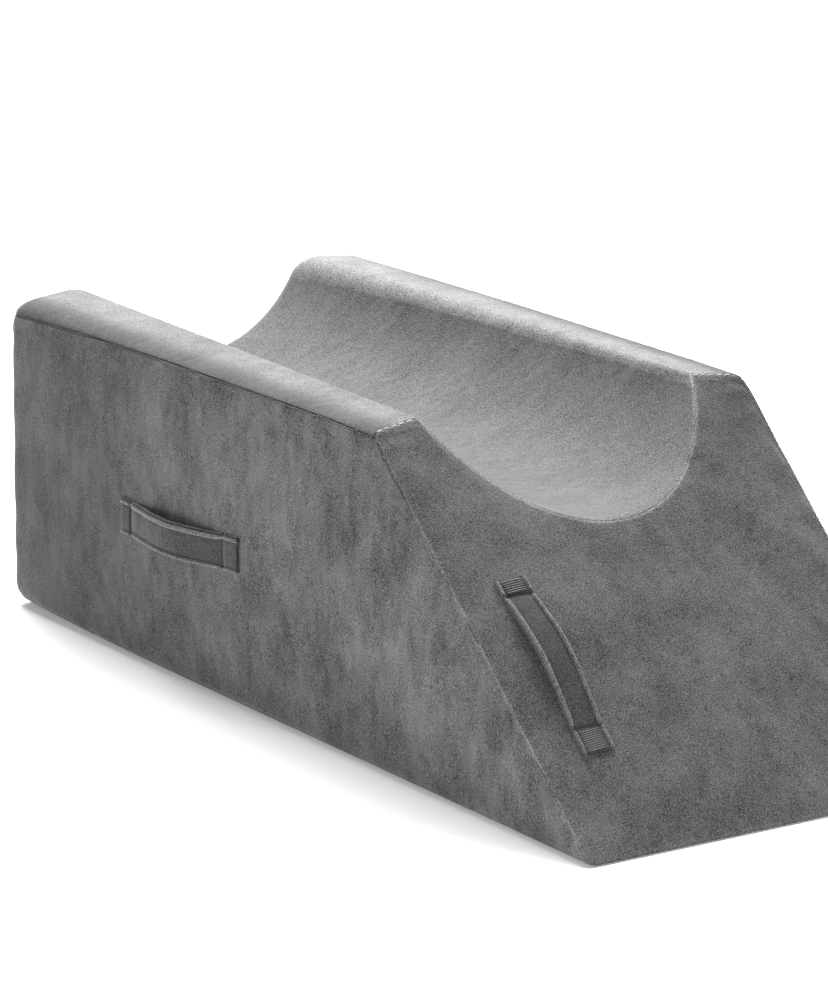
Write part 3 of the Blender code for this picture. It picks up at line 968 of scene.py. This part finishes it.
def make_strap(name, handle, on_face, outward, material):
    """A handle over a panel. on_face gives the panel's point at a share of the way, so far to one side."""
    length = math.dist(handle["from"], handle["to"])
    stations = strap_stations(length, handle["tabs"])
    half = TAB_WIDTH / 2
    edges = []
    for along, *_ in stations:
        edges.append([on_cover(on_face(along / length, across), outward) for across in (-half, half)])
    path = [mix(*pair, 0.5) + outward * (lift - TAB_SUNK) for pair, (_, lift, *_) in zip(edges, stations)]
    rings = []
    for index, (point, (left, right), station) in enumerate(zip(path, edges, stations)):
        _, lift, width, edge, middle = station
        travel = path[min(index + 1, len(path) - 1)] - path[max(index - 1, 0)]
        sideways = (right - left).normalized()
        up = sideways.cross(travel) if lift else outward - sideways * outward.dot(sideways)
        up.normalize()
        shape = strap_section(width, edge, middle, handle["rolls"])
        rings.append([point + sideways * across + up * height for across, height in shape])
    mesh = bmesh.new()
    skins = loft(mesh, rings)
    mesh.faces.new(skins[0])
    mesh.faces.new(skins[-1])
    made = finish_mesh(name, mesh, material)
    # Painted light and shade along the strap: darker at the creases and where the loop rises.
    painted_light_and_shade = []
    for along, lift, _, edge, _ in stations:
        shade = 1.0 if lift or edge >= TAB_EDGE else CREASE_PAINTED_SHADE
        middle = handle["middle"] * (1 - RISE_DARK * bump_shape(along / length, RISE_PLACE, RISE_WIDTH))
        painted_light_and_shade += [value * shade for value in strap_painted_light(middle)]
    made.data.attributes.new("painted_light_and_shade", "FLOAT", "POINT").data.foreach_set("value", painted_light_and_shade)
    made.data.attributes.new("brushing", "FLOAT", "POINT").data.foreach_set("value", [1.0] * len(painted_light_and_shade))
    rounding = made.modifiers.new("rounding", "SUBSURF")
    rounding.levels = rounding.render_levels = 1
    return made


def handle_place(handle, share):
    return [mix(first, last, share) for first, last in zip(handle["from"], handle["to"])]


def on_side_panel(share, across):
    y, z = handle_place(SIDE_HANDLE, share)
    return Vector((-HALF_WIDTH, y, z - across - SIDE_HANDLE_SAG * hump(share)))


side_velvet = make_velvet("side_handle_velvet", SIDE_HANDLE_COLOUR, **STRAP_PILE)
side_strap = make_strap("side_strap", SIDE_HANDLE, on_side_panel, OUT_OF_THE_SIDE, side_velvet)
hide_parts("side_handle")


# Front handle: the same folded strap on the slanted face, in a slightly warmer grey. Both of its tabs are
# held by blocks of close stitch rows.
FRONT_HANDLE = {
    "from": (-0.0902, 0.1105),
    "to": (-0.0886, 0.2244),
    "tabs": (0.0120, 0.0166),
    "rolls": ((0.00125, 0.0), (0.00105, 0.0)),
    # how dark the strap's middle is painted, as shade between its rolls
    "middle": 0.58,
}
FRONT_HANDLE_COLOUR = (0.102, 0.096, 0.092, 1.0)
TACK_COLOUR = (0.175, 0.166, 0.157, 1.0)
TACK_RADIUS = 0.00034
TACK_HALF_WIDTH = 0.0068
TACK_WOBBLE = 0.0006
TACK_SLOPE = 0.0004


def on_front_panel(share, across):
    x, down = handle_place(FRONT_HANDLE, share)
    return Vector((x - across, slant_y(HEIGHT), HEIGHT)) + DOWN_THE_SLANT * down


def add_tack_rows(mesh, on_face, handle, outward, start, end, rows):
    """Close rows of thread across a tab, between two distances along the handle."""
    length = math.dist(handle["from"], handle["to"])
    for row in range(rows):
        along = mix(start, end, row / (rows - 1))
        wobble = TACK_WOBBLE * noise.noise(Vector((row * 0.7, start * 90, 0.0)))
        ends = []
        for across in (-TACK_HALF_WIDTH, TACK_HALF_WIDTH):
            slope = TACK_SLOPE * across / TACK_HALF_WIDTH
            base = on_cover(on_face((along + slope) / length, across + wobble), outward)
            ends.append(base + outward * (TAB_MIDDLE - TAB_SUNK + TACK_RADIUS * 0.4))
        add_thread(mesh, *ends, outward, TACK_RADIUS)


front_velvet = make_velvet("front_handle_velvet", FRONT_HANDLE_COLOUR, **STRAP_PILE)
front_strap = make_strap("front_strap", FRONT_HANDLE, on_front_panel, OUT_OF_THE_SLANT, front_velvet)
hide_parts("front_handle")

tack_mesh = bmesh.new()
# (from, to, number of rows) along the handle
TACK_BLOCKS = ((0.0022, 0.0092, 6), (0.0995, 0.1112, 10))
for start, end, rows in TACK_BLOCKS:
    add_tack_rows(tack_mesh, on_front_panel, FRONT_HANDLE, OUT_OF_THE_SLANT, start, end, rows)
front_tacks = finish_mesh("front_handle_tacks", tack_mesh, make_thread("tack_thread", TACK_COLOUR))
